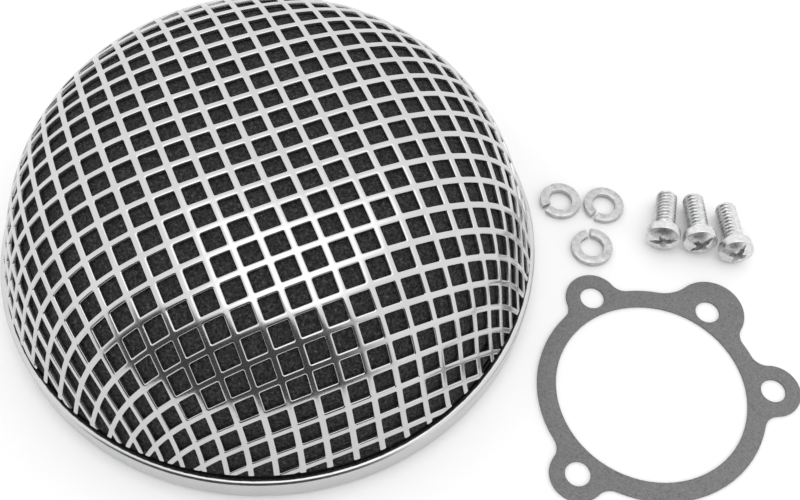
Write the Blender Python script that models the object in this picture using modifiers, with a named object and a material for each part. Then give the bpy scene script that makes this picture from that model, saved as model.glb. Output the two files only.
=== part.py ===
"""Air filter kit for a motorcycle carburettor, laid out as it is supplied.

A chromed grid dome covers a black foam element on a dished backing plate. Beside it lie the
carburettor gasket, three split lock washers and three screws. Units are metres and +Z is up.
Everything stands or lies on z = 0. Places in the plane are counted from the dome's axis, and
the empty "kit" carries them to the middle of the whole layout.
"""

import math

import bmesh
import bpy
import numpy as np
from mathutils import Matrix, Vector

MM = 0.001
GAP = 0.3 * MM  # between pieces that touch
ARC_TURN = 30  # degrees between two points of a round stretch
SHARP_ANGLE = math.radians(35)  # edges that turn by more stay sharp

# Backing plate: a pressed dish whose wall ends in a rolled bead.
RIM_RADIUS = 76.2 * MM  # a 6 inch rim
RIM_HEIGHT = 8.8 * MM
PLATE_SHEET = 1.2 * MM
PLATE_CORNER = 2.0 * MM  # outer radius between floor and wall
PLATE_STEPS = 64
BEAD_GAP_ANGLE = 15  # degrees by which the rolled bead stops short of the wall
FLOOR_TOP = PLATE_SHEET + GAP  # where the pieces inside the dish stand
BEAD_INNER_RADIUS = RIM_RADIUS - 2 * PLATE_SHEET

# Dome: its slope against arc length runs from level at the top to steep at the foot.
DOME_HEIGHT = 56.6 * MM
DOME_ARC = 1.159 * RIM_RADIUS  # the arc length over which it bends; below it the wall is straight
SLOPE_CUBIC = 3.129
SLOPE_QUINTIC = -1.867
DOME_SHEET = 1.2 * MM
DOME_FOOT = 11.4 * MM  # height at which the bars are cut off
ARC_STEP = 0.1 * MM

# Square grid of the dome. It is punched flat, and drawing it into a dome stretches it.
GRID_PITCH = 0.08965 * RIM_RADIUS
GRID_BAR = 1.7 * MM
GRID_TURN = math.radians(27.435)
GRID_SHIFT = (-0.120, 0.178)  # the hole nearest the axis, in pitches
STRETCH = (-0.0110, 0.0392)  # of the arc length, by the 2nd and 4th power of the flat radius
STRETCH_FOURFOLD = (0.0092, -0.0234)  # the same, between the grid's sides and its corners
TWIST_FOURFOLD = (-0.0122, 0.0427)  # of the azimuth, in radians
GRID_REACH = 15  # pitches on each side of the axis, more than the dome needs

# Filter element: a foam dome on a coarse steel screen.
FOAM_THICKNESS = 10.0 * MM
FOAM_DEPTH = DOME_SHEET + GAP  # of its outer side below the dome's outer side
FOAM_EDGE_RADIUS = BEAD_INNER_RADIUS - GAP
FOAM_EDGE_ROUND = 2.0 * MM
FOAM_OUTER_POINTS = 11
FOAM_INNER_POINTS = 10
FOAM_STEPS = 44
SCREEN_DEPTH = FOAM_DEPTH + FOAM_THICKNESS + 1.5 * GAP
SCREEN_SHEET = 0.8 * MM
SCREEN_BAR = 2.4 * MM
SCREEN_SPACING = 3  # pitches of the outer grid between two bars
SCREEN_FOOT = FLOOR_TOP + GAP

# Spring tabs inside the dome's foot, which grip the bead of the rim.
TAB_COUNT = 3
TAB_FIRST_AZIMUTH = math.radians(90)
TAB_WIDTH = 6.0 * MM
TAB_SHEET = 0.5 * MM
TAB_TOP = 17.0 * MM
TAB_BOTTOM = 3.5 * MM
TAB_CURVED_POINTS = 4
TAB_SLOT_MARGIN = 0.8 * MM  # of the foam's recess around the tab
TAB_SLOT_DEPTH = 2.9 * MM  # from outside the foam to behind the tab

# Gasket and the matching openings of the backing plate, from the throat's centre.
THROAT_RADIUS = 26.5 * MM
GASKET_CENTRE = (109.3 * MM, -38.0 * MM)
GASKET_THICKNESS = 0.8 * MM
GASKET_RING_RADIUS = 31.7 * MM
GASKET_FILLET = 4.5 * MM
LOBE_RADIUS = 7.6 * MM
VENT_LOBE_RADIUS = 10.0 * MM
VENT_LOBE_OFFSET = (0.6 * MM, 0.1 * MM)  # of the lobe's centre from its hole
VENT_FILLET = 11.0 * MM  # on the vent lobe's side away from screw hole 1
HOLE_RADIUS = 3.46 * MM
HOLE_STEPS = 24
SCREW_HOLES = ((34.0 * MM, 2.6 * MM), (-15.5 * MM, 28.2 * MM), (-21.1 * MM, -25.6 * MM))
VENT_HOLE = (17.8 * MM, 26.2 * MM)
OUTLINE_TURN = 10  # degrees between two points of the outline

# Split lock washers for 1/4 inch screws: centre x and y, and the azimuth of the split.
WASHER_OUTER_RADIUS = 6.1 * MM
WASHER_INNER_RADIUS = 3.5 * MM
WASHER_THICKNESS = 1.6 * MM
WASHER_RISE = 0.5 * MM  # from one end of the ring to the other
WASHER_SPLIT = math.radians(12)
WASHER_STEPS = 26
WASHERS = (
    (85.1 * MM, 23.3 * MM, math.radians(215)),
    (98.3 * MM, 22.9 * MM, math.radians(235)),
    (94.2 * MM, 7.3 * MM, math.radians(100)),
)

# 1/4 inch screws lying down: middle of the head's end face, azimuth towards the tip, and roll.
SCREW_LENGTH = 19.1 * MM
SCREW_SHANK_RADIUS = 3.15 * MM
SCREW_HEAD_RADIUS = 5.0 * MM
SCREW_HEAD_HEIGHT = 4.4 * MM
SCREW_CROWN = 1.7 * MM  # part of the head's height that is domed
SCREW_CROWN_TURN = 10  # degrees between two points of the crown
SCREW_CHAMFER = 0.6 * MM
SCREW_STEPS = 24
SLOT_LENGTH = 3 * SCREW_HEAD_RADIUS
SLOT_WIDTH = 1.3 * MM
SLOT_DEPTH = 1.6 * MM
CROSS_LENGTH = 6.0 * MM
CROSS_WIDTH = 1.25 * MM  # under the slot's, so that their sides don't coincide
CROSS_DEPTH = 2.4 * MM
SCREWS = (
    (114.4 * MM, 7.8 * MM, math.radians(80.7), math.radians(20)),
    (125.7 * MM, 7.3 * MM, math.radians(91.1), math.radians(50)),
    (136.3 * MM, 4.8 * MM, math.radians(94.0), math.radians(75)),
)

# The kit's right-hand end is the gasket's outermost lobe, and its left-hand end is the rim.
KIT_RIGHT = GASKET_CENTRE[0] + SCREW_HOLES[0][0] + LOBE_RADIUS
KIT_SHIFT = (RIM_RADIUS - KIT_RIGHT) / 2

# Name: colour, metallic, roughness.
FINISHES = {
    "chrome": ((0.74, 0.74, 0.75), 1.0, 0.08),
    "black_foam": ((0.015, 0.015, 0.015), 0.0, 0.95),
    "plain_steel": ((0.45, 0.45, 0.46), 1.0, 0.45),
    "black_spring_steel": ((0.02, 0.02, 0.02), 0.6, 0.5),
    "gasket_fibre": ((0.17, 0.17, 0.17), 0.0, 0.85),
    "zinc": ((0.62, 0.62, 0.63), 1.0, 0.32),
}


def clear_scene():
    for obj in list(bpy.data.objects):
        bpy.data.objects.remove(obj, do_unlink=True)


def collection(name):
    made = bpy.data.collections.new(name)
    bpy.context.scene.collection.children.link(made)
    return made


def material(finish):
    if finish in bpy.data.materials:
        return bpy.data.materials[finish]
    colour, metallic, roughness = FINISHES[finish]
    made = bpy.data.materials.new(finish)
    made.use_nodes = True
    shader = made.node_tree.nodes["Principled BSDF"]
    shader.inputs["Base Color"].default_value = (*colour, 1.0)
    shader.inputs["Metallic"].default_value = metallic
    shader.inputs["Roughness"].default_value = roughness
    made.diffuse_color = (*colour, 1.0)
    return made


def add_object(name, data, finish=None):
    """A part with that finish, or a cutter if it has none."""
    obj = bpy.data.objects.new(name, data)
    obj.parent = kit
    if not finish:
        cutters.objects.link(obj)
        obj.hide_render = True
        obj.display_type = "WIRE"
        return obj
    parts.objects.link(obj)
    if not data.materials:
        data.materials.append(material(finish))
    return obj


def mesh_of(bm, name):
    mesh = bpy.data.meshes.new(name)
    bm.to_mesh(mesh)
    bm.free()
    return mesh


def shade(mesh):
    mesh.shade_smooth()
    mesh.set_sharp_from_angle(angle=SHARP_ANGLE)


def apply_modifiers(obj):
    """Replaces the object's mesh by its evaluated one, shaded smooth but for its corners."""
    bpy.context.view_layer.update()
    graph = bpy.context.evaluated_depsgraph_get()
    mesh = bpy.data.meshes.new_from_object(obj.evaluated_get(graph))
    obj.modifiers.clear()
    obj.data = mesh
    shade(mesh)


def cut(obj, tools):
    for cutter in tools:
        boolean = obj.modifiers.new(cutter.name, "BOOLEAN")
        boolean.operation = "DIFFERENCE"
        boolean.solver = "EXACT"
        boolean.object = cutter


def arc_points(centre, radius, start, end, turn=ARC_TURN):
    """Points on an arc between two angles in degrees, at most turn apart."""
    count = math.ceil(abs(end - start) / turn) + 1
    angles = np.radians(np.linspace(start, end, count))
    return [(centre[0] + radius * math.cos(a), centre[1] + radius * math.sin(a)) for a in angles]


def turned_mesh(name, profile, closed):
    """The outline that a Screw modifier turns about Z. It runs down its outer side."""
    bm = bmesh.new()
    verts = [bm.verts.new((radius, 0.0, height)) for radius, height in profile]
    for first, second in zip(verts, verts[1:]):
        bm.edges.new((first, second))
    if closed:
        bm.edges.new((verts[-1], verts[0]))
    return mesh_of(bm, name)


def turn(obj, steps):
    screw = obj.modifiers.new("turn", "SCREW")
    screw.axis = "Z"
    screw.steps = steps
    screw.render_steps = steps
    screw.use_merge_vertices = True
    screw.merge_threshold = 0.01 * MM


def hole_cutter(name, place):
    """An upright cylinder through the plate's floor."""
    bm = bmesh.new()
    bmesh.ops.create_cone(
        bm,
        cap_ends=True,
        segments=HOLE_STEPS,
        radius1=HOLE_RADIUS,
        radius2=HOLE_RADIUS,
        depth=4 * PLATE_SHEET,
    )
    cutter = add_object(name, mesh_of(bm, name))
    cutter.location = (*place, 0.0)
    return cutter


def thicken(obj, sheet, offset):
    """Gives a surface the sheet's thickness: offset -1 puts it all behind, and 0 half on each side."""
    solidify = obj.modifiers.new("sheet", "SOLIDIFY")
    solidify.thickness = sheet
    solidify.offset = offset


# ---------------------------------------------------------------- dome surface


def dome_curve():
    """Arc length, radius, height and slope of the dome's outer side, from the top down."""
    arc = np.arange(0.0, 1.6 * RIM_RADIUS, ARC_STEP)
    share = np.minimum(arc / DOME_ARC, 1.0)
    slope = SLOPE_CUBIC * share**3 + SLOPE_QUINTIC * share**5
    radius = np.concatenate(([0.0], np.cumsum(np.cos(slope[:-1]) * ARC_STEP)))
    height = DOME_HEIGHT - np.concatenate(([0.0], np.cumsum(np.sin(slope[:-1]) * ARC_STEP)))
    return arc, radius, height, slope


def dome_point(arc, depth):
    """Radius and height at an arc length, on the surface that lies depth below the outer side."""
    arcs, radii, heights, slopes = DOME
    slope = np.interp(arc, arcs, slopes)
    radius = np.interp(arc, arcs, radii) - depth * math.sin(slope)
    height = np.interp(arc, arcs, heights) - depth * math.cos(slope)
    return float(radius), float(height)


def arc_at_height(height, depth):
    """The arc length at which the surface depth below the outer side comes down to a height."""
    arcs, _, heights, slopes = DOME
    return float(np.interp(-height, -(heights - depth * np.cos(slopes)), arcs))


def grid_to_dome(across, along, depth):
    """Where a point of the flat grid, in pitches, comes to lie on the dome."""
    flat = GRID_PITCH * math.hypot(across, along)
    angle = math.atan2(along, across)
    square = (flat / RIM_RADIUS) ** 2
    fourfold = math.cos(4 * angle)
    stretch = (STRETCH[0] + STRETCH_FOURFOLD[0] * fourfold) * square
    stretch += (STRETCH[1] + STRETCH_FOURFOLD[1] * fourfold) * square**2
    twist = (TWIST_FOURFOLD[0] * square + TWIST_FOURFOLD[1] * square**2) * math.sin(4 * angle)
    radius, height = dome_point(flat * (1 + stretch), depth)
    azimuth = angle + GRID_TURN + twist
    return radius * math.cos(azimuth), radius * math.sin(azimuth), height


def bar_lines(spacing, bar):
    """Both edges of every bar, in pitches from the hole in the middle of the grid."""
    half = bar / GRID_PITCH / 2
    middles = np.arange(-GRID_REACH // spacing, GRID_REACH // spacing + 1) * spacing
    return [edge for middle in middles + 0.5 for edge in (middle - half, middle + half)]


def keep_middle_piece(bm):
    """Deletes what the cut at the foot has left without a way to the top of the dome."""
    start = min(bm.faces, key=lambda face: face.calc_center_median().xy.length)
    kept = {start}
    fresh = [start]
    while fresh:
        face = fresh.pop()
        beside = {other for edge in face.edges for other in edge.link_faces} - kept
        kept |= beside
        fresh.extend(beside)
    loose = [face for face in bm.faces if face not in kept]
    bmesh.ops.delete(bm, geom=loose, context="FACES")


def grid_dome(name, spacing, bar, depth, sheet, foot, finish):
    """A dome of crossing bars: a flat grid with its holes deleted, bent over the dome and cut level."""
    lines = bar_lines(spacing, bar)
    segments = len(lines) - 1
    bm = bmesh.new()
    bmesh.ops.create_grid(bm, x_segments=segments, y_segments=segments, size=segments / 2)
    holes = []
    for face in bm.faces:
        middle = face.calc_center_median()
        column = math.floor(middle.x + segments / 2)
        row = math.floor(middle.y + segments / 2)
        if column % 2 and row % 2:
            holes.append(face)
    bmesh.ops.delete(bm, geom=holes, context="FACES")
    for vert in bm.verts:
        across = lines[round(vert.co.x + segments / 2)] + GRID_SHIFT[0]
        along = lines[round(vert.co.y + segments / 2)] + GRID_SHIFT[1]
        vert.co = grid_to_dome(across, along, depth)
    everything = bm.verts[:] + bm.edges[:] + bm.faces[:]
    bmesh.ops.bisect_plane(
        bm, geom=everything, dist=1e-6, plane_co=(0, 0, foot), plane_no=(0, 0, 1), clear_inner=True
    )
    keep_middle_piece(bm)
    obj = add_object(name, mesh_of(bm, name), finish)
    thicken(obj, sheet, -1)
    apply_modifiers(obj)


# ---------------------------------------------------------------- pieces of the filter


def build_backing_plate():
    """A dish with a rolled bead, the throat, three screw holes and a vent hole."""
    bead = (RIM_RADIUS - PLATE_SHEET, RIM_HEIGHT - PLATE_SHEET)
    corner = (RIM_RADIUS - PLATE_CORNER, PLATE_CORNER)
    profile = arc_points(bead, PLATE_SHEET, 180, 0)
    profile += arc_points(corner, PLATE_CORNER, 0, -90)
    profile += [(THROAT_RADIUS, 0.0), (THROAT_RADIUS, PLATE_SHEET)]
    profile += arc_points(corner, PLATE_CORNER - PLATE_SHEET, -90, 0)
    profile += arc_points(bead, PLATE_SHEET, 270, 180 + BEAD_GAP_ANGLE)
    plate = add_object("backing_plate", turned_mesh("backing_plate", profile, True), "chrome")
    turn(plate, PLATE_STEPS)
    holes = [hole_cutter(f"screw_hole_{n}", place) for n, place in enumerate(SCREW_HOLES, 1)]
    cut(plate, [*holes, hole_cutter("vent_hole", VENT_HOLE)])
    apply_modifiers(plate)


def build_mesh_dome():
    grid_dome("mesh_dome", 1, GRID_BAR, 0.0, DOME_SHEET, DOME_FOOT, "chrome")


def build_support_screen():
    spacing, bar = SCREEN_SPACING, SCREEN_BAR
    grid_dome("support_screen", spacing, bar, SCREEN_DEPTH, SCREEN_SHEET, SCREEN_FOOT, "plain_steel")


def tab_route(depth, margin):
    """The tab's middle line: along the inside of the dome, then straight down inside the bead."""
    top, foot = arc_at_height(TAB_TOP + margin, depth), arc_at_height(DOME_FOOT, depth)
    route = [dome_point(arc, depth) for arc in np.linspace(top, foot, TAB_CURVED_POINTS)]
    return route + [(route[-1][0], TAB_BOTTOM - margin)]


def tab_strip(name, azimuth, depth, sheet, margin, finish=None):
    """A strip bent along the tab's route, and wider and longer than the tab by the margin."""
    bm = bmesh.new()
    width = TAB_WIDTH + 2 * margin
    rows = [
        [bm.verts.new((radius, side * width / 2, height)) for side in (-1, 1)]
        for radius, height in tab_route(depth, margin)
    ]
    for upper, lower in zip(rows, rows[1:]):
        bm.faces.new((upper[0], lower[0], lower[1], upper[1]))
    strip = add_object(name, mesh_of(bm, name), finish)
    strip.rotation_euler.z = azimuth
    thicken(strip, sheet, 0)
    return strip


def tab_azimuths():
    return [TAB_FIRST_AZIMUTH + n * math.tau / TAB_COUNT for n in range(TAB_COUNT)]


def build_cover_tabs():
    depth = FOAM_DEPTH + TAB_SHEET / 2
    for n, azimuth in enumerate(tab_azimuths(), 1):
        name = f"cover_tab_{n}"
        tab_strip(name, azimuth, depth, TAB_SHEET, 0.0, "black_spring_steel")


def build_foam_element():
    """A thick foam dome whose foot fills the dish out to the bead, recessed for the tabs."""
    foot = arc_at_height(DOME_FOOT, FOAM_DEPTH)
    profile = [dome_point(arc, FOAM_DEPTH) for arc in np.linspace(0.0, foot, FOAM_OUTER_POINTS)]
    edge = FOAM_EDGE_RADIUS - FOAM_EDGE_ROUND
    profile += arc_points((edge, RIM_HEIGHT), FOAM_EDGE_ROUND, 45, 0)
    profile += arc_points((edge, FLOOR_TOP + FOAM_EDGE_ROUND), FOAM_EDGE_ROUND, 0, -90)
    depth = FOAM_DEPTH + FOAM_THICKNESS
    inner_foot = arc_at_height(FLOOR_TOP, depth)
    profile += [dome_point(arc, depth) for arc in np.linspace(inner_foot, 0.0, FOAM_INNER_POINTS)]
    foam = add_object("foam_element", turned_mesh("foam_element", profile, False), "black_foam")
    turn(foam, FOAM_STEPS)
    slots = [
        tab_strip(f"tab_slot_{n}", azimuth, FOAM_DEPTH, TAB_SLOT_DEPTH, TAB_SLOT_MARGIN)
        for n, azimuth in enumerate(tab_azimuths(), 1)
    ]
    cut(foam, slots)
    apply_modifiers(foam)


# ---------------------------------------------------------------- gasket


def azimuth_of(x, y):
    return math.degrees(math.atan2(y, x))


def lobes():
    """Each lobe's centre and radius and the radii of its two fillets, in the order of azimuth."""
    vent = (VENT_HOLE[0] + VENT_LOBE_OFFSET[0], VENT_HOLE[1] + VENT_LOBE_OFFSET[1])
    found = [((*place, LOBE_RADIUS), (GASKET_FILLET, GASKET_FILLET)) for place in SCREW_HOLES]
    found.append(((*vent, VENT_LOBE_RADIUS), (GASKET_FILLET, VENT_FILLET)))
    return sorted(found, key=lambda lobe: azimuth_of(*lobe[0][:2]))


def outline_arc(centre, radius, start, turned):
    """Points on an arc that starts at one azimuth and turns by so many degrees."""
    return arc_points(centre, radius, start, start + turned, OUTLINE_TURN)


def fillet(lobe, radius, side):
    """The hollow fillet on one side of a lobe: its centre, the centre's azimuth from the throat, and
    the azimuth from the centre to the lobe's."""
    x, y, lobe_radius = lobe
    distance = math.hypot(x, y)
    to_ring = GASKET_RING_RADIUS + radius
    to_lobe = lobe_radius + radius
    spread = math.acos((to_ring**2 + distance**2 - to_lobe**2) / (2 * to_ring * distance))
    azimuth = azimuth_of(x, y) + side * math.degrees(spread)
    centre = arc_points((0, 0), to_ring, azimuth, azimuth)[0]
    return centre, azimuth, azimuth_of(x - centre[0], y - centre[1])


def lobe_outline(lobe, fillets):
    """A lobe between its fillets, anticlockwise, and the azimuths at which it leaves the ring."""
    before, ring_start, lobe_start = fillet(lobe, fillets[0], -1)
    after, ring_end, lobe_end = fillet(lobe, fillets[1], 1)
    inwards = (ring_start + 180 - lobe_start) % 360
    outwards = (lobe_end - ring_end - 180) % 360
    points = outline_arc(before, fillets[0], ring_start + 180, -inwards)
    points += outline_arc(lobe[:2], lobe[2], lobe_start + 180, (lobe_end - lobe_start) % 360)[1:-1]
    points += outline_arc(after, fillets[1], lobe_end, -outwards)
    return points, ring_start, ring_end


def gasket_outline():
    made = [lobe_outline(lobe, fillets) for lobe, fillets in lobes()]
    points = []
    for (lobe_points, _, end), (_, start, _) in zip(made, made[1:] + made[:1]):
        points += lobe_points
        points += outline_arc((0, 0), GASKET_RING_RADIUS, end, (start - end) % 360)[1:-1]
    return points


def circle_outline(centre, radius):
    return outline_arc(centre, radius, 0, 360)[:-1]


def build_gasket():
    """A flat outline with its openings, as thick as the fibre sheet."""
    curve = bpy.data.curves.new("gasket", "CURVE")
    curve.dimensions = "2D"
    curve.fill_mode = "BOTH"
    curve.extrude = GASKET_THICKNESS / 2
    outlines = [gasket_outline(), circle_outline((0, 0), THROAT_RADIUS)]
    outlines += [circle_outline(place, HOLE_RADIUS) for place in (*SCREW_HOLES, VENT_HOLE)]
    for outline in outlines:
        spline = curve.splines.new("POLY")
        spline.points.add(len(outline) - 1)
        for point, (x, y) in zip(spline.points, outline):
            point.co = (x, y, 0.0, 1.0)
        spline.use_cyclic_u = True
    gasket = add_object("gasket", curve, "gasket_fibre")
    gasket.location = (*GASKET_CENTRE, GASKET_THICKNESS / 2)


# ---------------------------------------------------------------- washers and screws


def build_lock_washer(number, x, y, split):
    """A square bar wound into one open turn that rises from its first end to its last."""
    bm = bmesh.new()
    corners = [
        bm.verts.new((radius, 0.0, height))
        for radius, height in (
            (WASHER_INNER_RADIUS, 0.0),
            (WASHER_OUTER_RADIUS, 0.0),
            (WASHER_OUTER_RADIUS, WASHER_THICKNESS),
            (WASHER_INNER_RADIUS, WASHER_THICKNESS),
        )
    ]
    section = bm.faces.new(corners)
    bmesh.ops.spin(
        bm,
        geom=[section, *section.edges, *corners],
        axis=(0, 0, 1),
        cent=(0, 0, 0),
        dvec=(0, 0, WASHER_RISE / WASHER_STEPS),
        angle=math.tau - WASHER_SPLIT,
        steps=WASHER_STEPS,
    )
    bmesh.ops.recalc_face_normals(bm, faces=bm.faces)
    name = f"lock_washer_{number}"
    mesh = mesh_of(bm, name)
    shade(mesh)
    washer = add_object(name, mesh, "zinc")
    washer.location = (x, y, 0.0)
    washer.rotation_euler.z = split + WASHER_SPLIT / 2


def screw_profile():
    """From the top of the head down its outer side to the tip; height 0 is under the head."""
    crown_radius = (SCREW_HEAD_RADIUS**2 + SCREW_CROWN**2) / (2 * SCREW_CROWN)
    crown_centre = (0.0, SCREW_HEAD_HEIGHT - crown_radius)
    half_angle = math.degrees(math.asin(SCREW_HEAD_RADIUS / crown_radius))
    crown = arc_points(crown_centre, crown_radius, 90, 90 - half_angle, SCREW_CROWN_TURN)
    tip = SCREW_HEAD_HEIGHT - SCREW_LENGTH
    return crown + [
        (SCREW_HEAD_RADIUS, 0.0),
        (SCREW_SHANK_RADIUS, 0.0),
        (SCREW_SHANK_RADIUS, tip + SCREW_CHAMFER),
        (SCREW_SHANK_RADIUS - SCREW_CHAMFER, tip),
        (0.0, tip),
    ]


def recess_cutter(name, length, width, depth):
    """A box let into the top of a screw's head by depth."""
    bm = bmesh.new()
    bmesh.ops.create_cube(bm, size=1.0)
    bmesh.ops.scale(bm, vec=(length, width, 2 * depth), verts=bm.verts)
    bmesh.ops.translate(bm, vec=(0, 0, SCREW_HEAD_HEIGHT), verts=bm.verts)
    return add_object(name, mesh_of(bm, name))


def screw_mesh():
    """A round head with a slot and a crossed recess on a plain shank."""
    blank = add_object("screw_blank", turned_mesh("screw", screw_profile(), False))
    turn(blank, SCREW_STEPS)
    slot = recess_cutter("slot", SLOT_LENGTH, SLOT_WIDTH, SLOT_DEPTH)
    along = recess_cutter("cross_along_slot", CROSS_LENGTH, CROSS_WIDTH, CROSS_DEPTH)
    across = recess_cutter("cross_over_slot", SLOT_WIDTH, CROSS_LENGTH, CROSS_DEPTH)
    cut(blank, [slot, across, along])
    apply_modifiers(blank)
    return blank.data


def build_screw(number, mesh, x, y, azimuth, roll):
    """Lies on the edge under its head and on its tip, so it slopes down to the tip."""
    shank = SCREW_LENGTH - SCREW_HEAD_HEIGHT - SCREW_CHAMFER
    slope = math.atan((SCREW_HEAD_RADIUS - SCREW_SHANK_RADIUS) / shank)
    to_tip = Vector((math.cos(azimuth), math.sin(azimuth), 0.0)) * math.cos(slope)
    to_tip.z = -math.sin(slope)
    under_head = Vector((x, y, 0.0)) + to_tip * SCREW_HEAD_HEIGHT
    under_head.z = SCREW_HEAD_RADIUS * math.cos(slope)
    turned = (-to_tip).to_track_quat("Z", "Y").to_matrix().to_4x4()
    screw = add_object(f"screw_{number}", mesh, "zinc")
    screw.matrix_local = Matrix.Translation(under_head) @ turned @ Matrix.Rotation(roll, 4, "Z")


clear_scene()
parts = collection("air_filter_kit")
cutters = collection("cutters")
kit = bpy.data.objects.new("kit", None)
kit.location.x = KIT_SHIFT
parts.objects.link(kit)
DOME = dome_curve()

build_backing_plate()
build_mesh_dome()
build_support_screen()
build_cover_tabs()
build_foam_element()
build_gasket()
for index, place in enumerate(WASHERS, 1):
    build_lock_washer(index, *place)
shared_screw = screw_mesh()
for index, place in enumerate(SCREWS, 1):
    build_screw(index, shared_screw, *place)
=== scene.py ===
import math

import bmesh
import bpy
import numpy as np
from mathutils import Matrix, Vector


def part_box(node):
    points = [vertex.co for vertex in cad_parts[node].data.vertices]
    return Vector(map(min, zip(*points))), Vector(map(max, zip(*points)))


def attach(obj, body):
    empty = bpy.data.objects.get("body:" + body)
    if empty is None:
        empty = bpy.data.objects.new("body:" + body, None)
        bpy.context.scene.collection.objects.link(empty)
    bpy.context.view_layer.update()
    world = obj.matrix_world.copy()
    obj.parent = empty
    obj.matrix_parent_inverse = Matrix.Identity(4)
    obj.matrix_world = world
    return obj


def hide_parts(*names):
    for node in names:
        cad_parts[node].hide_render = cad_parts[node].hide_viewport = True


# The looks of the air filter kit: a chromed grid dome over black foam on a chromed dish, a fibre
# gasket, three split lock washers and three screws. Units are metres, +Z is up.

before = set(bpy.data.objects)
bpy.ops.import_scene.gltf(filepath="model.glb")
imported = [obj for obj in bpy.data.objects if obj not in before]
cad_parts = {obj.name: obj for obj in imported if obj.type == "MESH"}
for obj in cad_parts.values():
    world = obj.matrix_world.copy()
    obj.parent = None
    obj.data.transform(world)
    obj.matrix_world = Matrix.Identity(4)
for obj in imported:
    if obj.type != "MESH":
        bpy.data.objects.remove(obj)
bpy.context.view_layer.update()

MM = 0.001
MERGE_DISTANCE = 0.005 * MM  # points nearer than this become one
SHARP_ANGLE = math.radians(40)  # edges that turn by more stay sharp

# ---------------------------------------------------------------- sizes, as in the CAD part

PLATE_LOW, PLATE_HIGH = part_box("backing_plate")
AXIS = Vector(((PLATE_LOW.x + PLATE_HIGH.x) / 2, (PLATE_LOW.y + PLATE_HIGH.y) / 2, 0.0))
RIM_RADIUS = (PLATE_HIGH.x - PLATE_LOW.x) / 2
RIM_HEIGHT = PLATE_HIGH.z
PLATE_SHEET = 1.2 * MM
PLATE_CORNER = 2.0 * MM
GAP = 0.3 * MM  # between pieces that touch
FLOOR_TOP = PLATE_SHEET + GAP
BEAD_INNER_RADIUS = RIM_RADIUS - 2 * PLATE_SHEET
BEAD_GAP_ANGLE = 10  # degrees by which the rolled bead stops short of the wall
BEAD_POINTS = 17
BEND_POINTS = 9
INNER_BEND_POINTS = 5
LIP_POINTS = 7
DISH_STEPS = 256

DOME_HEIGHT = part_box("mesh_dome")[1].z
DOME_FOOT = 11.4 * MM
DOME_ARC = 1.159 * RIM_RADIUS
SLOPE_CUBIC = 3.129
SLOPE_QUINTIC = -1.867
DOME_SHEET = 1.2 * MM
ARC_STEP = 0.05 * MM

# Square grid of the dome: it is punched flat, and drawing it into a dome stretches it.
GRID_PITCH = 0.08965 * RIM_RADIUS
GRID_BAR = 1.7 * MM
GRID_TURN = math.radians(27.435)
GRID_SHIFT = (-0.120, 0.178)  # the hole nearest the axis, in pitches
STRETCH = (-0.0110, 0.0392)  # of the arc length, by the 2nd and 4th power of the flat radius
STRETCH_FOURFOLD = (0.0092, -0.0234)  # the same, between the grid's sides and its corners
TWIST_FOURFOLD = (-0.0122, 0.0427)  # of the azimuth, in radians
GRID_REACH = 14  # pitches on each side of the axis, more than the dome needs
HOLE_CORNER = 0.35 * MM
BAR_ROUND_WIDTH = 0.5 * MM
BAR_ROUND_DEPTH = 0.3 * MM
BAR_ROUND_POINTS = 6
BAR_BACK_EDGE = 0.15 * MM
CELL_CORNER = 0.2  # part of a cell's edge, in pitches, that faces a hole's rounded corner
CORNER_POINTS = 5

FOAM_DEPTH = DOME_SHEET + 0.15 * MM  # foam swells a little into the gap below the dome
FOAM_THICKNESS = 10.3 * MM
FOAM_EDGE_RADIUS = BEAD_INNER_RADIUS - GAP
FOAM_EDGE_ROUND = 2.0 * MM
FOAM_ROUND_POINTS = 6
FOAM_OUTER_POINTS = 60
FOAM_INNER_POINTS = 30
FOAM_STEPS = 200
TAB_CLEARANCE = 0.35 * MM  # of the foam's recesses round the cover tabs

COVER_TABS = ("cover_tab_1", "cover_tab_2", "cover_tab_3")

THROAT_RADIUS = 26.5 * MM
RING_RADIUS = 31.7 * MM
GASKET_FILLET = 4.5 * MM
VENT_FILLET = 11.0 * MM  # on the vent lobe's side away from screw hole 1
LOBE_RADIUS = 7.6 * MM
VENT_LOBE_RADIUS = 10.0 * MM
VENT_LOBE_OFFSET = (0.6 * MM, 0.1 * MM)
HOLE_RADIUS = 3.46 * MM
HOLE_STEPS = 48
SCREW_HOLES = ((34.0 * MM, 2.6 * MM), (-15.5 * MM, 28.2 * MM), (-21.1 * MM, -25.6 * MM))
VENT_HOLE = (17.8 * MM, 26.2 * MM)
OUTLINE_TURN = 5  # degrees between two points of the gasket's outline
GASKET_EDGE = 0.08 * MM  # softened edge of the fibre sheet

# Split lock washers: the azimuth of each one's split, and the split's angle.
WASHER_SPLITS = (math.radians(215), math.radians(235), math.radians(100))
WASHER_SPLIT = math.radians(12)
WASHER_OUTER_RADIUS = 6.1 * MM
WASHER_INNER_RADIUS = 3.5 * MM
WASHER_THICKNESS = 1.6 * MM
WASHER_RISE = 0.5 * MM  # from one end of the ring to the other
WASHER_EDGE = 0.18 * MM  # radius of the bar's rounded edges
WASHER_EDGE_POINTS = 3
WASHER_STEPS = 72

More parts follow.
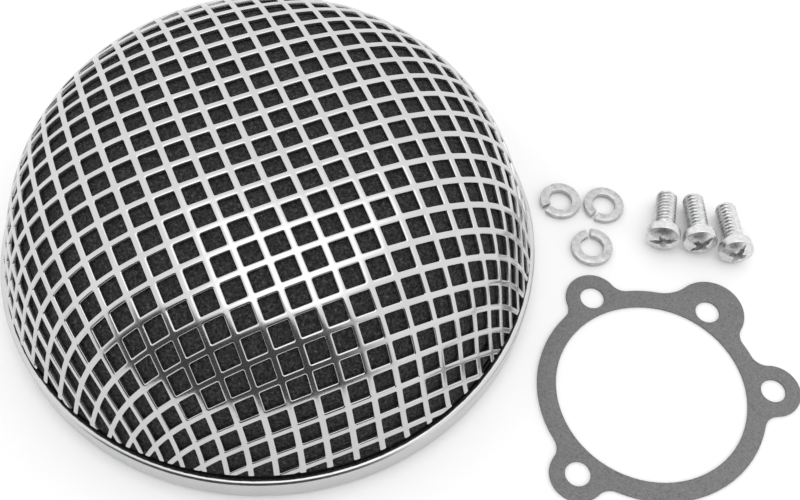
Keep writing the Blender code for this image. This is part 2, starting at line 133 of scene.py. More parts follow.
# Screws lying down, on the edge under the head and on the tip.
SCREW_LENGTH = 19.1 * MM
SHANK_RADIUS = 3.15 * MM
HEAD_RADIUS = 5.0 * MM
HEAD_HEIGHT = 4.4 * MM
SCREW_TIP = HEAD_HEIGHT - SCREW_LENGTH  # height of the tip when the underside of the head is at 0
HEAD_CROWN = 1.7 * MM  # part of the head's height that is domed
HEAD_EDGE = 0.4 * MM  # radius between the crown and the head's side
HEAD_FOOT_EDGE = 0.25 * MM
HEAD_EDGE_POINTS = 4
CROWN_POINTS = 9
TIP_CHAMFER = 0.6 * MM
THREAD_PITCH = 1.27 * MM
THREAD_DEPTH = 0.5 * MM
THREAD_START = 0.8 * MM  # below the head
THREAD_ROWS = 12  # in each pitch
FLANK_SLOPE = 2.6  # thread depths that a flank would climb in one pitch
ROOT_FLAT = 0.15  # thread depths taken off the flanks, which leaves a flat root
SCREW_STEPS = 60
SCREW_SHARP_ANGLE = math.radians(30)
SLOT_RECESS = (3 * HEAD_RADIUS, 1.35 * MM, 1.15 * MM, 0.25 * MM)  # length, width, depth, draw
CROSS_RECESS = (6.0 * MM, 2.2 * MM, 2.2 * MM, 1.1 * MM)
SCREWS = (  # middle of the head's end face from the axis, azimuth towards the tip, roll
    (114.4 * MM, 7.8 * MM, math.radians(80.7), math.radians(20)),
    (125.7 * MM, 7.3 * MM, math.radians(91.1), math.radians(50)),
    (136.3 * MM, 4.8 * MM, math.radians(94.0), math.radians(75)),
)

# ---------------------------------------------------------------- node helpers


def new_material(name, metallic, roughness, **sockets):
    """A Principled material, its node tree and its shader, with further sockets set by name."""
    material = bpy.data.materials.new(name)
    material.use_nodes = True
    shader = material.node_tree.nodes["Principled BSDF"]
    shader.inputs["Metallic"].default_value = metallic
    shader.inputs["Roughness"].default_value = roughness
    for socket, value in sockets.items():
        shader.inputs[socket.replace("_", " ")].default_value = value
    return material, material.node_tree, shader


def noise(tree, scale, detail=4.0, roughness=0.55, stretch=None):
    """Noise in the object's own space, which can be stretched along its axes."""
    coordinates = tree.nodes.new("ShaderNodeTexCoord")
    node = tree.nodes.new("ShaderNodeTexNoise")
    node.inputs["Scale"].default_value = scale
    node.inputs["Detail"].default_value = detail
    node.inputs["Roughness"].default_value = roughness
    source = coordinates.outputs["Object"]
    if stretch:
        mapping = tree.nodes.new("ShaderNodeMapping")
        mapping.inputs["Scale"].default_value = stretch
        tree.links.new(source, mapping.inputs["Vector"])
        source = mapping.outputs["Vector"]
    tree.links.new(source, node.inputs["Vector"])
    return node.outputs["Fac"]


def ramp(tree, value, stops, interpolation="LINEAR"):
    """Turns a value into greys by (place, grey) stops."""
    node = tree.nodes.new("ShaderNodeValToRGB")
    node.color_ramp.interpolation = interpolation
    elements = node.color_ramp.elements
    while len(elements) < len(stops):
        elements.new(0.5)
    for element, (place, grey) in zip(elements, stops):
        element.position = place
        element.color = (grey, grey, grey, 1.0)
    tree.links.new(value, node.inputs["Fac"])
    return node.outputs["Color"]


def bump(tree, shader, height, strength, distance):
    node = tree.nodes.new("ShaderNodeBump")
    node.inputs["Strength"].default_value = strength
    node.inputs["Distance"].default_value = distance
    tree.links.new(height, node.inputs["Height"])
    tree.links.new(node.outputs["Normal"], shader.inputs["Normal"])


# ---------------------------------------------------------------- materials


def chrome_material(name, base, waviness, haze_low):
    """Bright plating: faint waves in the metal below it, and a thin haze that varies."""
    material, tree, shader = new_material(name, 1.0, 0.06)
    colour = ramp(tree, noise(tree, 90.0, 3.0), ((0.3, base * 0.93), (0.7, base)))
    tree.links.new(colour, shader.inputs["Base Color"])
    haze = ramp(tree, noise(tree, 260.0, 6.0, 0.7), ((0.35, haze_low), (0.75, haze_low + 0.09)))
    tree.links.new(haze, shader.inputs["Roughness"])
    bump(tree, shader, noise(tree, 140.0, 2.0), waviness, 0.3 * MM)
    return material


def foam_material():
    """Open-cell foam: dark, with pores that catch a little light on their edges."""
    material, tree, shader = new_material("black_foam", 0.0, 0.95, Specular_IOR_Level=0.25)
    cells = tree.nodes.new("ShaderNodeTexVoronoi")
    cells.feature = "F1"
    cells.inputs["Scale"].default_value = 1900.0
    coordinates = tree.nodes.new("ShaderNodeTexCoord")
    tree.links.new(coordinates.outputs["Object"], cells.inputs["Vector"])
    shades = ((0.38, 0.007), (0.5, 0.024), (0.62, 0.05), (0.72, 0.17))
    colour = ramp(tree, noise(tree, 1300.0, 5.0, 0.75), shades)
    tree.links.new(colour, shader.inputs["Base Color"])
    bump(tree, shader, cells.outputs["Distance"], 0.8, 0.4 * MM)
    return material


def gasket_material():
    """Pressed fibre sheet: mid grey, mottled, with fine dark and light fibres."""
    material, tree, shader = new_material("gasket_fibre", 0.0, 0.85, Specular_IOR_Level=0.3)
    shades = ((0.30, 0.07), (0.45, 0.155), (0.6, 0.19), (0.75, 0.33))
    colour = ramp(tree, noise(tree, 1600.0, 8.0, 0.75), shades)
    tree.links.new(colour, shader.inputs["Base Color"])
    bump(tree, shader, noise(tree, 2200.0, 4.0), 0.35, 0.2 * MM)
    return material


def zinc_material(name, dark, bright):
    """Zinc plate: slightly dull, with small patches of brighter and duller metal."""
    material, tree, shader = new_material(name, 1.0, 0.3)
    colour = ramp(tree, noise(tree, 700.0, 4.0, 0.6), ((0.3, dark), (0.7, bright)))
    tree.links.new(colour, shader.inputs["Base Color"])
    dull = ramp(tree, noise(tree, 1200.0, 5.0, 0.7), ((0.3, 0.22), (0.7, 0.42)))
    tree.links.new(dull, shader.inputs["Roughness"])
    bump(tree, shader, noise(tree, 1400.0, 3.0), 0.25, 0.1 * MM)
    return material


def plain_steel_material():
    material, tree, shader = new_material("plain_steel", 1.0, 0.4)
    colour = ramp(tree, noise(tree, 400.0, 4.0), ((0.3, 0.33), (0.7, 0.5)))
    tree.links.new(colour, shader.inputs["Base Color"])
    bump(tree, shader, noise(tree, 900.0, 3.0, 0.6, (1, 1, 6)), 0.2, 0.1 * MM)
    return material


def black_steel_material():
    """Spring steel with a black oxide finish."""
    material, tree, shader = new_material("black_spring_steel", 0.8, 0.45)
    colour = ramp(tree, noise(tree, 600.0, 5.0), ((0.3, 0.012), (0.75, 0.035)))
    tree.links.new(colour, shader.inputs["Base Color"])
    bump(tree, shader, noise(tree, 1500.0, 3.0), 0.2, 0.1 * MM)
    return material


def table_material():
    material, tree, shader = new_material("table", 0.0, 0.6, Specular_IOR_Level=0.2)
    colour = ramp(tree, noise(tree, 3.0, 2.0), ((0.3, 0.86), (0.7, 0.88)))
    tree.links.new(colour, shader.inputs["Base Color"])
    return material


# ---------------------------------------------------------------- mesh helpers


def add_piece(name, bm, material, body, node, sharp=SHARP_ANGLE):
    """Turns a bmesh into a smooth piece that rides on a body and stands for a CAD node."""
    mesh = bpy.data.meshes.new(name)
    bm.to_mesh(mesh)
    bm.free()
    mesh.shade_smooth()
    mesh.set_sharp_from_angle(angle=sharp)
    obj = bpy.data.objects.new(name, mesh)
    bpy.context.scene.collection.objects.link(obj)
    mesh.materials.append(material)
    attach(obj, body)
    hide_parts(node)
    return obj


def arc_points(centre, radius, start, end, count):
    """Points on an arc between two angles in degrees."""
    angles = np.radians(np.linspace(start, end, count))
    return [(centre[0] + radius * math.cos(a), centre[1] + radius * math.sin(a)) for a in angles]


def turned(profile, steps, closed):
    """A bmesh of the profile turned about Z through AXIS; points on the axis become one vertex."""
    bm = bmesh.new()
    rings = []
    for radius, height in profile:
        if radius < MERGE_DISTANCE:
            rings.append([bm.verts.new((AXIS.x, AXIS.y, height))] * steps)
            continue
        angles = [math.tau * n / steps for n in range(steps)]
        rings.append(
            [
                bm.verts.new((AXIS.x + radius * math.cos(a), AXIS.y + radius * math.sin(a), height))
                for a in angles
            ]
        )
    pairs = list(zip(rings, rings[1:]))
    if closed:
        pairs.append((rings[-1], rings[0]))
    for upper, lower in pairs:
        for n in range(steps):
            m = (n + 1) % steps
            corners = [upper[n], lower[n], lower[m], upper[m]]
            face = [v for k, v in enumerate(corners) if v not in corners[:k]]
            bm.faces.new(face)
    return bm


def boolean_cut(bm, cutter):
    """The bmesh less a cutter bmesh, both closed."""
    objects = []
    for name, source in (("whole", bm), ("cutter", cutter)):
        mesh = bpy.data.meshes.new(name)
        source.to_mesh(mesh)
        source.free()
        obj = bpy.data.objects.new(name, mesh)
        bpy.context.scene.collection.objects.link(obj)
        objects.append(obj)
    whole, tool = objects
    modifier = whole.modifiers.new("cut", "BOOLEAN")
    modifier.operation = "DIFFERENCE"
    modifier.solver = "EXACT"
    modifier.object = tool
    graph = bpy.context.evaluated_depsgraph_get()
    made = bmesh.new()
    made.from_object(whole, graph)
    for obj in objects:
        bpy.data.objects.remove(obj, do_unlink=True)
    return made


# ---------------------------------------------------------------- dome surface


def dome_curve():
    """Arc length, radius, height and slope of the dome's outer side, from the top down."""
    arc = np.arange(0.0, 1.6 * RIM_RADIUS, ARC_STEP)
    share = np.minimum(arc / DOME_ARC, 1.0)
    slope = SLOPE_CUBIC * share**3 + SLOPE_QUINTIC * share**5
    radius = np.concatenate(([0.0], np.cumsum(np.cos(slope[:-1]) * ARC_STEP)))
    height = DOME_HEIGHT - np.concatenate(([0.0], np.cumsum(np.sin(slope[:-1]) * ARC_STEP)))
    return arc, radius, height, slope


DOME = dome_curve()


def dome_point(arc, depth):
    """Radius and height at an arc length, on the surface that lies depth below the outer side."""
    arcs, radii, heights, slopes = DOME
    slope = np.interp(arc, arcs, slopes)
    radius = np.interp(arc, arcs, radii) - depth * math.sin(slope)
    height = np.interp(arc, arcs, heights) - depth * math.cos(slope)
    return float(radius), float(height)


def arc_at_height(height, depth):
    """The arc length at which the surface depth below the outer side comes down to a height."""
    arcs, _, heights, slopes = DOME
    return float(np.interp(-height, -(heights - depth * np.cos(slopes)), arcs))


def flat_to_arc(across, along):
    """Arc length and azimuth on the dome of a point of the flat grid, given in pitches."""
    flat = GRID_PITCH * math.hypot(across, along)
    angle = math.atan2(along, across)
    square = (flat / RIM_RADIUS) ** 2
    fourfold = math.cos(4 * angle)
    stretch = (STRETCH[0] + STRETCH_FOURFOLD[0] * fourfold) * square
    stretch += (STRETCH[1] + STRETCH_FOURFOLD[1] * fourfold) * square**2
    twist = (TWIST_FOURFOLD[0] * square + TWIST_FOURFOLD[1] * square**2) * math.sin(4 * angle)
    return flat * (1 + stretch), angle + GRID_TURN + twist


def on_dome(across, along, depth):
    """Where a point of the flat grid, in pitches, comes to lie on the dome."""
    arc, azimuth = flat_to_arc(across, along)
    radius, height = dome_point(arc, depth)
    return AXIS.x + radius * math.cos(azimuth), AXIS.y + radius * math.sin(azimuth), height


# ---------------------------------------------------------------- grid dome


def rounded_square(half, corner):
    """Points round a square with rounded corners: an arc at each corner and each side's middle."""
    points = []
    for quarter in range(4):
        turn = Matrix.Rotation(quarter * math.pi / 2, 2)
        for x, y in arc_points((half - corner, half - corner), corner, 0, 90, CORNER_POINTS):
            points.append(turn @ Vector((x, y)))
        points.append(turn @ Vector((0.0, half)))
    return points


def cell_boundary(corner):
    """The cell's own edge, with points that face those of the rounded square."""
    points = []
    for quarter in range(4):
        turn = Matrix.Rotation(quarter * math.pi / 2, 2)
        steps = (CORNER_POINTS - 1) // 2
        for n in range(CORNER_POINTS):
            x = 0.5 - corner * max(0, n - steps) / steps
            y = 0.5 - corner * max(0, steps - n) / steps
            points.append(turn @ Vector((x, y)))
        points.append(turn @ Vector((0.0, 0.5)))
    return points


def cell_rings():
    """Outlines of one cell from the middle of the bars over their rounded side down to the back."""
    hole = 0.5 - GRID_BAR / GRID_PITCH / 2
    corner = HOLE_CORNER / GRID_PITCH
    boundary = cell_boundary(CELL_CORNER)
    rings = [(boundary, 0.0)]
    for angle in np.radians(np.linspace(90, 0, BAR_ROUND_POINTS)):
        spread = BAR_ROUND_WIDTH / GRID_PITCH * (1 - math.cos(angle))
        depth = BAR_ROUND_DEPTH * (1 - math.sin(angle))
        rings.append((rounded_square(hole + spread, corner + spread), depth))
    rings.append((rounded_square(hole, corner), DOME_SHEET - BAR_BACK_EDGE))
    rings.append((rounded_square(hole + BAR_BACK_EDGE / GRID_PITCH, corner), DOME_SHEET))
    rings.append((boundary, DOME_SHEET))
    return rings


def keep_middle_piece(bm):
    """Deletes what the cut at the foot has left without a way to the top of the dome."""
    start = min(bm.faces, key=lambda face: (face.calc_center_median().xy - AXIS.xy).length)
    kept = {start}
    fresh = [start]
    while fresh:
        face = fresh.pop()
        beside = {other for edge in face.edges for other in edge.link_faces} - kept
        kept |= beside
        fresh.extend(beside)
    bmesh.ops.delete(bm, geom=[face for face in bm.faces if face not in kept], context="FACES")


def grid_cells():
    """The middles of the cells that reach above the dome's foot, in pitches."""
    limit = arc_at_height(DOME_FOOT, 0.0) + GRID_PITCH
    for column in range(-GRID_REACH, GRID_REACH + 1):
        for row in range(-GRID_REACH, GRID_REACH + 1):
            middle = (column + GRID_SHIFT[0], row + GRID_SHIFT[1])
            if flat_to_arc(*middle)[0] < limit:
                yield middle


def build_grid_dome(material):
    """A dome of cells with rounded bars, cut level at its foot."""
    rings = cell_rings()
    bm = bmesh.new()
    for across, along in grid_cells():
        made = [
            [bm.verts.new(on_dome(across + point.x, along + point.y, depth)) for point in outline]
            for outline, depth in rings
        ]
        for outer, inner in zip(made, made[1:]):
            count = len(outer)
            for n in range(count):
                m = (n + 1) % count
                bm.faces.new((outer[n], outer[m], inner[m], inner[n]))
    bmesh.ops.remove_doubles(bm, verts=bm.verts, dist=MERGE_DISTANCE)
    everything = bm.verts[:] + bm.edges[:] + bm.faces[:]
    foot = (0, 0, DOME_FOOT)
    bmesh.ops.bisect_plane(
        bm, geom=everything, dist=1e-6, plane_co=foot, plane_no=(0, 0, 1), clear_inner=True
    )
    keep_middle_piece(bm)
    bmesh.ops.holes_fill(bm, edges=[edge for edge in bm.edges if edge.is_boundary], sides=0)
    bmesh.ops.recalc_face_normals(bm, faces=bm.faces)
    return add_piece("grid_cover", bm, material, "cover", "mesh_dome")


# ---------------------------------------------------------------- foam and dish


def tab_recess(name):
    """A closed shape that is larger than a cover tab by the clearance on every side."""
    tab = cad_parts[name]
    bm = bmesh.new()
    bm.from_mesh(tab.data)
    bmesh.ops.transform(bm, matrix=tab.matrix_world, verts=bm.verts)
    bmesh.ops.remove_doubles(bm, verts=bm.verts, dist=MERGE_DISTANCE)
    bmesh.ops.recalc_face_normals(bm, faces=bm.faces)
    for vert in bm.verts:
        vert.co += vert.normal * vert.calc_shell_factor() * TAB_CLEARANCE
    return bm


def build_foam(material):
    """A thick foam dome whose foot fills the dish out to the bead, recessed for the tabs."""
    foot = arc_at_height(DOME_FOOT, FOAM_DEPTH)
    profile = [dome_point(arc, FOAM_DEPTH) for arc in np.linspace(0.0, foot, FOAM_OUTER_POINTS)]
    upper = (FOAM_EDGE_RADIUS - FOAM_EDGE_ROUND, RIM_HEIGHT)
    lower = (FOAM_EDGE_RADIUS - FOAM_EDGE_ROUND, FLOOR_TOP + FOAM_EDGE_ROUND)
    profile += arc_points(upper, FOAM_EDGE_ROUND, 50, 0, FOAM_ROUND_POINTS)
    profile += arc_points(lower, FOAM_EDGE_ROUND, 0, -90, FOAM_ROUND_POINTS)
    inner = FOAM_DEPTH + FOAM_THICKNESS
    inner_foot = arc_at_height(FLOOR_TOP, inner)
    profile += [dome_point(arc, inner) for arc in np.linspace(inner_foot, 0.0, FOAM_INNER_POINTS)]
    bm = turned(profile, FOAM_STEPS, False)
    bmesh.ops.recalc_face_normals(bm, faces=bm.faces)
    for tab in COVER_TABS:
        bm = boolean_cut(bm, tab_recess(tab))
    foam = add_piece("foam_dome", bm, material, "element", "foam_element")
    return foam


def hole_cutters():
    """Upright cylinders through the dish's floor."""
    bm = bmesh.new()
    for x, y in (*SCREW_HOLES, VENT_HOLE):
        made = bmesh.ops.create_cone(
            bm,
            cap_ends=True,
            segments=HOLE_STEPS,
            radius1=HOLE_RADIUS,
            radius2=HOLE_RADIUS,
            depth=8 * PLATE_SHEET,
        )
        bmesh.ops.translate(bm, vec=(AXIS.x + x, AXIS.y + y, 0.0), verts=made["verts"])
    return bm


def build_dish(material):
    """A dish with a rolled bead, the throat with a softened lip, and its four holes."""
    bead = (RIM_RADIUS - PLATE_SHEET, RIM_HEIGHT - PLATE_SHEET)
    corner = (RIM_RADIUS - PLATE_CORNER, PLATE_CORNER)
    lip = PLATE_SHEET / 2
    profile = arc_points(bead, PLATE_SHEET, 180, 0, BEAD_POINTS)
    profile += arc_points(corner, PLATE_CORNER, 0, -90, BEND_POINTS)
    profile += arc_points((THROAT_RADIUS + lip, lip), lip, 270, 90, LIP_POINTS)
    profile += arc_points(corner, PLATE_CORNER - PLATE_SHEET, -90, 0, INNER_BEND_POINTS)
    profile += arc_points(bead, PLATE_SHEET, 270, 180 + BEAD_GAP_ANGLE, BEND_POINTS)
    bm = boolean_cut(turned(profile, DISH_STEPS, True), hole_cutters())
    return add_piece("dish", bm, material, "plate", "backing_plate")


# ---------------------------------------------------------------- gasket


def azimuth_of(x, y):
    return math.degrees(math.atan2(y, x))


def lobes():
    """Each lobe's centre and radius and the radii of its two fillets, in the order of azimuth."""
    vent = (VENT_HOLE[0] + VENT_LOBE_OFFSET[0], VENT_HOLE[1] + VENT_LOBE_OFFSET[1])
    found = [((*place, LOBE_RADIUS), (GASKET_FILLET, GASKET_FILLET)) for place in SCREW_HOLES]
    found.append(((*vent, VENT_LOBE_RADIUS), (GASKET_FILLET, VENT_FILLET)))
    return sorted(found, key=lambda lobe: azimuth_of(*lobe[0][:2]))


def outline_arc(centre, radius, start, turned_by):
    """Points on an arc that starts at one azimuth and turns by so many degrees."""
    count = math.ceil(abs(turned_by) / OUTLINE_TURN) + 1
    return arc_points(centre, radius, start, start + turned_by, count)


def fillet(lobe, radius, side):
    """The hollow fillet on one side of a lobe: its centre, the centre's azimuth from the throat, and
    the azimuth from the centre to the lobe's."""
    x, y, lobe_radius = lobe
    distance = math.hypot(x, y)
    to_ring = RING_RADIUS + radius
    to_lobe = lobe_radius + radius
    spread = math.acos((to_ring**2 + distance**2 - to_lobe**2) / (2 * to_ring * distance))
    azimuth = azimuth_of(x, y) + side * math.degrees(spread)
    centre = (to_ring * math.cos(math.radians(azimuth)), to_ring * math.sin(math.radians(azimuth)))
    return centre, azimuth, azimuth_of(x - centre[0], y - centre[1])


def lobe_outline(lobe, fillets):
    """A lobe between its fillets, anticlockwise, and the azimuths at which it leaves the ring."""
    before, ring_start, lobe_start = fillet(lobe, fillets[0], -1)
    after, ring_end, lobe_end = fillet(lobe, fillets[1], 1)
    inwards = (ring_start + 180 - lobe_start) % 360
    outwards = (lobe_end - ring_end - 180) % 360
    points = outline_arc(before, fillets[0], ring_start + 180, -inwards)
    points += outline_arc(lobe[:2], lobe[2], lobe_start + 180, (lobe_end - lobe_start) % 360)[1:-1]
    points += outline_arc(after, fillets[1], lobe_end, -outwards)
    return points, ring_start, ring_end


def gasket_outline():
    made = [lobe_outline(lobe, fillets) for lobe, fillets in lobes()]
    points = []
    for (lobe_points, _, end), (_, start, _) in zip(made, made[1:] + made[:1]):
        points += lobe_points
        points += outline_arc((0, 0), RING_RADIUS, end, (start - end) % 360)[1:-1]
    return points


def circle_outline(centre, radius):
    return outline_arc(centre, radius, 0, 360)[:-1]


def build_gasket(material):
    """A flat outline with its openings, as thick as the fibre sheet, with softened edges."""
    low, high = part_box("gasket")
    centre = (low.x + RING_RADIUS, low.y + LOBE_RADIUS - SCREW_HOLES[2][1])
    curve = bpy.data.curves.new("gasket_outline", "CURVE")
    curve.dimensions = "2D"
    curve.fill_mode = "BOTH"
    curve.extrude = (high.z - low.z) / 2 - GASKET_EDGE
    curve.bevel_depth = GASKET_EDGE
    curve.bevel_resolution = 1
    curve.offset = -GASKET_EDGE
    outlines = [gasket_outline(), circle_outline((0, 0), THROAT_RADIUS)]
    outlines += [circle_outline(place, HOLE_RADIUS) for place in (*SCREW_HOLES, VENT_HOLE)]
    for outline in outlines:
        spline = curve.splines.new("POLY")
        spline.points.add(len(outline) - 1)
        for point, (x, y) in zip(spline.points, outline):
            point.co = (x, y, 0.0, 1.0)
        spline.use_cyclic_u = True
    source = bpy.data.objects.new("gasket_outline", curve)
    bpy.context.scene.collection.objects.link(source)
    evaluated = source.evaluated_get(bpy.context.evaluated_depsgraph_get())
    bm = bmesh.new()
    bm.from_mesh(evaluated.to_mesh())
    evaluated.to_mesh_clear()
    bpy.data.objects.remove(source, do_unlink=True)
    bmesh.ops.translate(bm, vec=(*centre, (low.z + high.z) / 2), verts=bm.verts)
    bmesh.ops.remove_doubles(bm, verts=bm.verts, dist=MERGE_DISTANCE)
    return add_piece("fibre_gasket", bm, material, "gasket", "gasket")


# ---------------------------------------------------------------- washers and screws


def washer_section():
    """The bar's rectangle with rounded edges, anticlockwise from its inner bottom corner."""
    inner, outer = WASHER_INNER_RADIUS + WASHER_EDGE, WASHER_OUTER_RADIUS - WASHER_EDGE
    bottom, top = WASHER_EDGE, WASHER_THICKNESS - WASHER_EDGE
    corners = ((inner, bottom, 180), (outer, bottom, 270), (outer, top, 0), (inner, top, 90))
    section = []
    for radius, height, start in corners:
        section += arc_points((radius, height), WASHER_EDGE, start, start + 90, WASHER_EDGE_POINTS)
    return section


def build_lock_washer(number, material):
    """A bar wound into one open turn that rises from its first end to its last."""
    name = f"lock_washer_{number}"
    low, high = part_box(name)
    middle = (low + high) / 2
    start = WASHER_SPLITS[number - 1] + WASHER_SPLIT / 2
    section = washer_section()
    bm = bmesh.new()
    rings = []
    for n in range(WASHER_STEPS + 1):
        share = n / WASHER_STEPS
        azimuth = start + share * (math.tau - WASHER_SPLIT)
        ring = [
            bm.verts.new(
                (
                    middle.x + radius * math.cos(azimuth),
                    middle.y + radius * math.sin(azimuth),
                    height + WASHER_RISE * share,
                )
            )
            for radius, height in section
        ]
        rings.append(ring)
    for ring, following in zip(rings, rings[1:]):
        for n in range(len(section)):
            m = (n + 1) % len(section)
            bm.faces.new((ring[n], ring[m], following[m], following[n]))
    bm.faces.new(rings[0][::-1])
    bm.faces.new(rings[-1])
    bmesh.ops.recalc_face_normals(bm, faces=bm.faces)
    return add_piece(f"split_washer_{number}", bm, material, name, name)


def thread_radius(height, turns):
    """The shank's radius at a height below the head and at a share of a turn round it."""
    phase = (height / THREAD_PITCH - turns) % 1.0
    flank = min(1.0, max(0.0, FLANK_SLOPE * abs(phase - 0.5) - ROOT_FLAT))
    run_out = min(1.0, max(0.0, (-height - THREAD_START) / THREAD_PITCH))
    return SHANK_RADIUS - THREAD_DEPTH * (1.0 - flank) * run_out


def screw_rows():
    """The screw's outer side as rows of radii with their heights, from the crown to the tip."""
    crown_radius = (HEAD_RADIUS**2 + HEAD_CROWN**2) / (2 * HEAD_CROWN)
    half_angle = math.degrees(math.asin((HEAD_RADIUS - HEAD_EDGE) / crown_radius))
    crown_centre = (0.0, HEAD_HEIGHT - crown_radius)
    crown = arc_points(crown_centre, crown_radius, 90, 90 - half_angle, CROWN_POINTS)
    side_top = (HEAD_RADIUS - HEAD_EDGE, crown[-1][1] - HEAD_EDGE)
    side_foot = (HEAD_RADIUS - HEAD_FOOT_EDGE, HEAD_FOOT_EDGE)
    head = crown[1:] + arc_points(side_top, HEAD_EDGE, 60, 0, HEAD_EDGE_POINTS)
    head += arc_points(side_foot, HEAD_FOOT_EDGE, 0, -90, HEAD_EDGE_POINTS)
    rows = [([radius] * SCREW_STEPS, height) for radius, height in head]
    for height in [*np.arange(0.0, SCREW_TIP, -THREAD_PITCH / THREAD_ROWS), SCREW_TIP]:
        chamfer = SHANK_RADIUS - TIP_CHAMFER + max(0.0, height - SCREW_TIP)
        shank = [thread_radius(height, n / SCREW_STEPS) for n in range(SCREW_STEPS)]
        rows.append(([min(radius, chamfer) for radius in shank], height))
    return rows


def screw_body():
    """The screw without its recesses, upright, with height 0 under its head."""
    bm = bmesh.new()
    azimuths = [math.tau * n / SCREW_STEPS for n in range(SCREW_STEPS)]
    rings = [
        [
            bm.verts.new((radius * math.cos(azimuth), radius * math.sin(azimuth), height))
            for azimuth, radius in zip(azimuths, radii)
        ]
        for radii, height in screw_rows()
    ]
    for upper, lower in zip(rings, rings[1:]):
        for n in range(SCREW_STEPS):
            m = (n + 1) % SCREW_STEPS
            bm.faces.new((upper[n], lower[n], lower[m], upper[m]))
    for ring, height in ((rings[0], HEAD_HEIGHT), (rings[-1], SCREW_TIP)):
        middle = bm.verts.new((0.0, 0.0, height))
        for n in range(SCREW_STEPS):
            bm.faces.new((ring[n], ring[(n + 1) % SCREW_STEPS], middle))
    bmesh.ops.recalc_face_normals(bm, faces=bm.faces)
    return bm


def taper_box(bm, length, width, depth, draw):
    """A box sunk into the head from above. Draw is how much narrower it is at its bottom, and half
    of how much shorter."""
    made = bmesh.ops.create_cube(bm, size=1.0)
    for vert in made["verts"]:
        bottom = vert.co.z < 0
        shrink = draw if bottom else 0.0
        vert.co.x *= length - 2 * shrink
        vert.co.y *= width - shrink
        vert.co.z = HEAD_HEIGHT - depth if bottom else HEAD_HEIGHT + 1 * MM


def screw_mesh():
    """The screw with its slot and its cross recess."""
    bm = screw_body()
    for recess, turned_by in ((SLOT_RECESS, 0), (CROSS_RECESS, 0), (CROSS_RECESS, 90)):
        cutter = bmesh.new()
        taper_box(cutter, *recess)
        turn = Matrix.Rotation(math.radians(turned_by), 3, "Z")
        bmesh.ops.rotate(cutter, cent=(0, 0, 0), matrix=turn, verts=cutter.verts)
        bm = boolean_cut(bm, cutter)
    return bm


def screw_placement(x, y, azimuth, roll):
    """Lying on the edge under its head and on its tip, as in the CAD part."""
    shank = SCREW_LENGTH - HEAD_HEIGHT - TIP_CHAMFER
    slope = math.atan((HEAD_RADIUS - SHANK_RADIUS) / shank)
    to_tip = Vector((math.cos(azimuth), math.sin(azimuth), 0.0)) * math.cos(slope)
    to_tip.z = -math.sin(slope)
    under_head = Vector((AXIS.x + x, AXIS.y + y, 0.0)) + to_tip * HEAD_HEIGHT
    under_head.z = HEAD_RADIUS * math.cos(slope)
    turn = (-to_tip).to_track_quat("Z", "Y").to_matrix().to_4x4()
    return Matrix.Translation(under_head) @ turn @ Matrix.Rotation(roll, 4, "Z")


def build_screws(material):
    for number, place in enumerate(SCREWS, 1):
        bm = screw_mesh()
        bmesh.ops.transform(bm, matrix=screw_placement(*place), verts=bm.verts)
        name = f"screw_{number}"
        add_piece(f"machine_screw_{number}", bm, material, name, name, SCREW_SHARP_ANGLE)


def finish_nodes(names, material):
    """Gives the CAD solids that stay as they are their visible material."""
    for name in names:
        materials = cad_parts[name].data.materials
        materials.clear()
        materials.append(material)


# ---------------------------------------------------------------- studio

# Places are counted from the dome's axis, on the floor.
TABLE_SIZE = 3.2
TABLE_DROP = 0.02 * MM
SOFTBOX_SIZE = (1.0, 1.1)
SOFTBOX_PLACE = Vector((0.13, 0.06, 1.0))
SOFTBOX_GLOW = 1.9
DARK_CARD_SIZE = (1.0, 0.54)
DARK_CARD_PLACE = Vector((-0.06, -0.34, 0.27))
DARK_CARD_GLOW = 0.08
WORLD_COLOUR = (0.78, 0.78, 0.79, 1.0)
WORLD_STRENGTH = 1.5
CAMERA_PLACE = Vector((37.33, -168.55, 273.04)) * MM
CAMERA_PITCH = math.radians(57.97)
CAMERA_ROLL = math.radians(4.05)
CAMERA_LENS = 48.94


def flat_piece(name, width, height, material):
    """A flat sheet in its own XY plane, which belongs to the studio."""
    bm = bmesh.new()
    bmesh.ops.create_grid(bm, x_segments=1, y_segments=1, size=0.5)
    bmesh.ops.scale(bm, vec=(width, height, 1.0), verts=bm.verts)
    mesh = bpy.data.meshes.new(name)
    bm.to_mesh(mesh)
    bm.free()
    mesh.materials.append(material)
    obj = bpy.data.objects.new(name, mesh)
    bpy.context.scene.collection.objects.link(obj)
    return obj


def build_table():
    """A plain pale floor, a hair below the pieces that lie on it."""
    table = flat_piece("table", TABLE_SIZE, TABLE_SIZE, table_material())
    table.location.z = -TABLE_DROP


def edge_fade(tree, sides, ends):
    """1 in the middle of a flat piece, falling to 0 at its edges over (low, high) shares of it."""
    coordinates = tree.nodes.new("ShaderNodeTexCoord")
    split = tree.nodes.new("ShaderNodeSeparateXYZ")
    tree.links.new(coordinates.outputs["Generated"], split.inputs["Vector"])
    product = tree.nodes.new("ShaderNodeMath")
    product.operation = "MULTIPLY"
    for number, (axis, (low, high)) in enumerate((("X", sides), ("Y", ends))):
        stops = ((0.0, 0.0), (low, 1.0), (1.0 - high, 1.0), (1.0, 0.0))
        fade = ramp(tree, split.outputs[axis], stops, "EASE")
        tree.links.new(fade, product.inputs[number])
    return product.outputs["Value"]


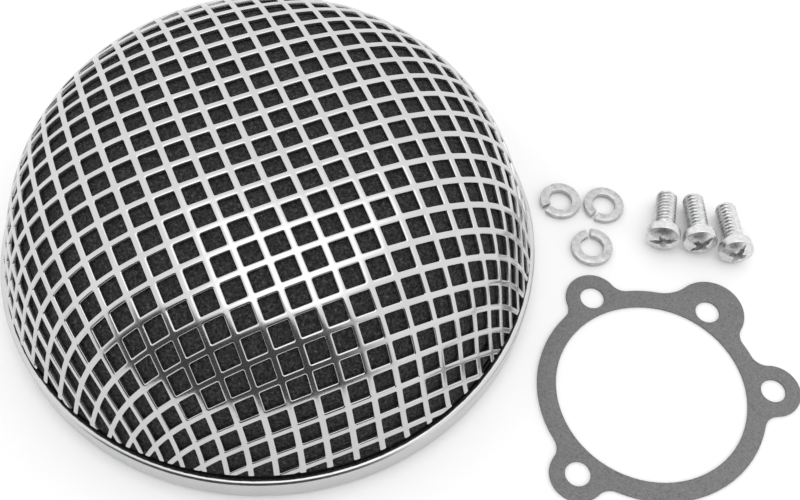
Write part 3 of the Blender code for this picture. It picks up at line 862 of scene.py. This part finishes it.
def card_material(name, strength, sides, ends):
    """A card that gives off light, and lets what is behind it show through at its edges."""
    material = bpy.data.materials.new(name)
    material.use_nodes = True
    tree = material.node_tree
    tree.nodes.clear()
    surface = tree.nodes.new("ShaderNodeEmission")
    surface.inputs["Color"].default_value = (1.0, 1.0, 1.0, 1.0)
    surface.inputs["Strength"].default_value = strength
    clear = tree.nodes.new("ShaderNodeBsdfTransparent")
    mix = tree.nodes.new("ShaderNodeMixShader")
    output = tree.nodes.new("ShaderNodeOutputMaterial")
    tree.links.new(edge_fade(tree, sides, ends), mix.inputs["Fac"])
    tree.links.new(clear.outputs["BSDF"], mix.inputs[1])
    tree.links.new(surface.outputs["Emission"], mix.inputs[2])
    tree.links.new(mix.outputs["Shader"], output.inputs["Surface"])
    return material


def build_softbox():
    """The light overhead that the crown of the dome mirrors."""
    glow = card_material("softbox", SOFTBOX_GLOW, sides=(0.2, 0.35), ends=(0.06, 0.35))
    box = flat_piece("softbox", *SOFTBOX_SIZE, glow)
    box.location = AXIS + SOFTBOX_PLACE
    box.visible_camera = False
    box.visible_shadow = False


def build_dark_card():
    """A dark screen in front of the object, which the dome mirrors below its highlight."""
    dark = card_material("dark_card", DARK_CARD_GLOW, sides=(0.22, 0.25), ends=(0.0, 0.06))
    card = flat_piece("dark_card", *DARK_CARD_SIZE, dark)
    card.rotation_euler.x = math.radians(90)
    card.location = AXIS + DARK_CARD_PLACE
    card.visible_camera = False
    card.visible_diffuse = False
    card.visible_shadow = False


def build_world():
    """Even, nearly white light from all round."""
    world = bpy.data.worlds.new("studio")
    world.use_nodes = True
    background = world.node_tree.nodes["Background"]
    background.inputs["Color"].default_value = WORLD_COLOUR
    background.inputs["Strength"].default_value = WORLD_STRENGTH
    bpy.context.scene.world = world


def build_camera():
    pitch, roll = CAMERA_PITCH, CAMERA_ROLL
    camera = bpy.data.cameras.new("camera")
    camera.lens = CAMERA_LENS
    camera.clip_start = 0.01
    obj = bpy.data.objects.new("camera", camera)
    ahead = Vector((0.0, math.cos(pitch), -math.sin(pitch)))
    level = Vector((1.0, 0.0, 0.0))
    upright = Vector((0.0, math.sin(pitch), math.cos(pitch)))
    right = level * math.cos(roll) + upright * math.sin(roll)
    up = upright * math.cos(roll) - level * math.sin(roll)
    rotation = Matrix((right, up, -ahead)).transposed().to_4x4()
    obj.matrix_world = Matrix.Translation(AXIS + CAMERA_PLACE) @ rotation
    bpy.context.scene.collection.objects.link(obj)
    bpy.context.scene.camera = obj


build_grid_dome(chrome_material("dome_chrome", 0.60, 0.25, 0.16))
build_foam(foam_material())
build_dish(chrome_material("dish_chrome", 0.60, 0.1, 0.2))
build_gasket(gasket_material())
dull_zinc = zinc_material("dull_zinc", 0.38, 0.60)
for washer in (1, 2, 3):
    build_lock_washer(washer, dull_zinc)
build_screws(zinc_material("bright_zinc", 0.58, 0.80))
finish_nodes(["support_screen"], plain_steel_material())
finish_nodes(COVER_TABS, black_steel_material())

build_camera()
build_world()
build_table()
build_dark_card()
build_softbox()
bpy.context.scene.view_settings.view_transform = "Standard"
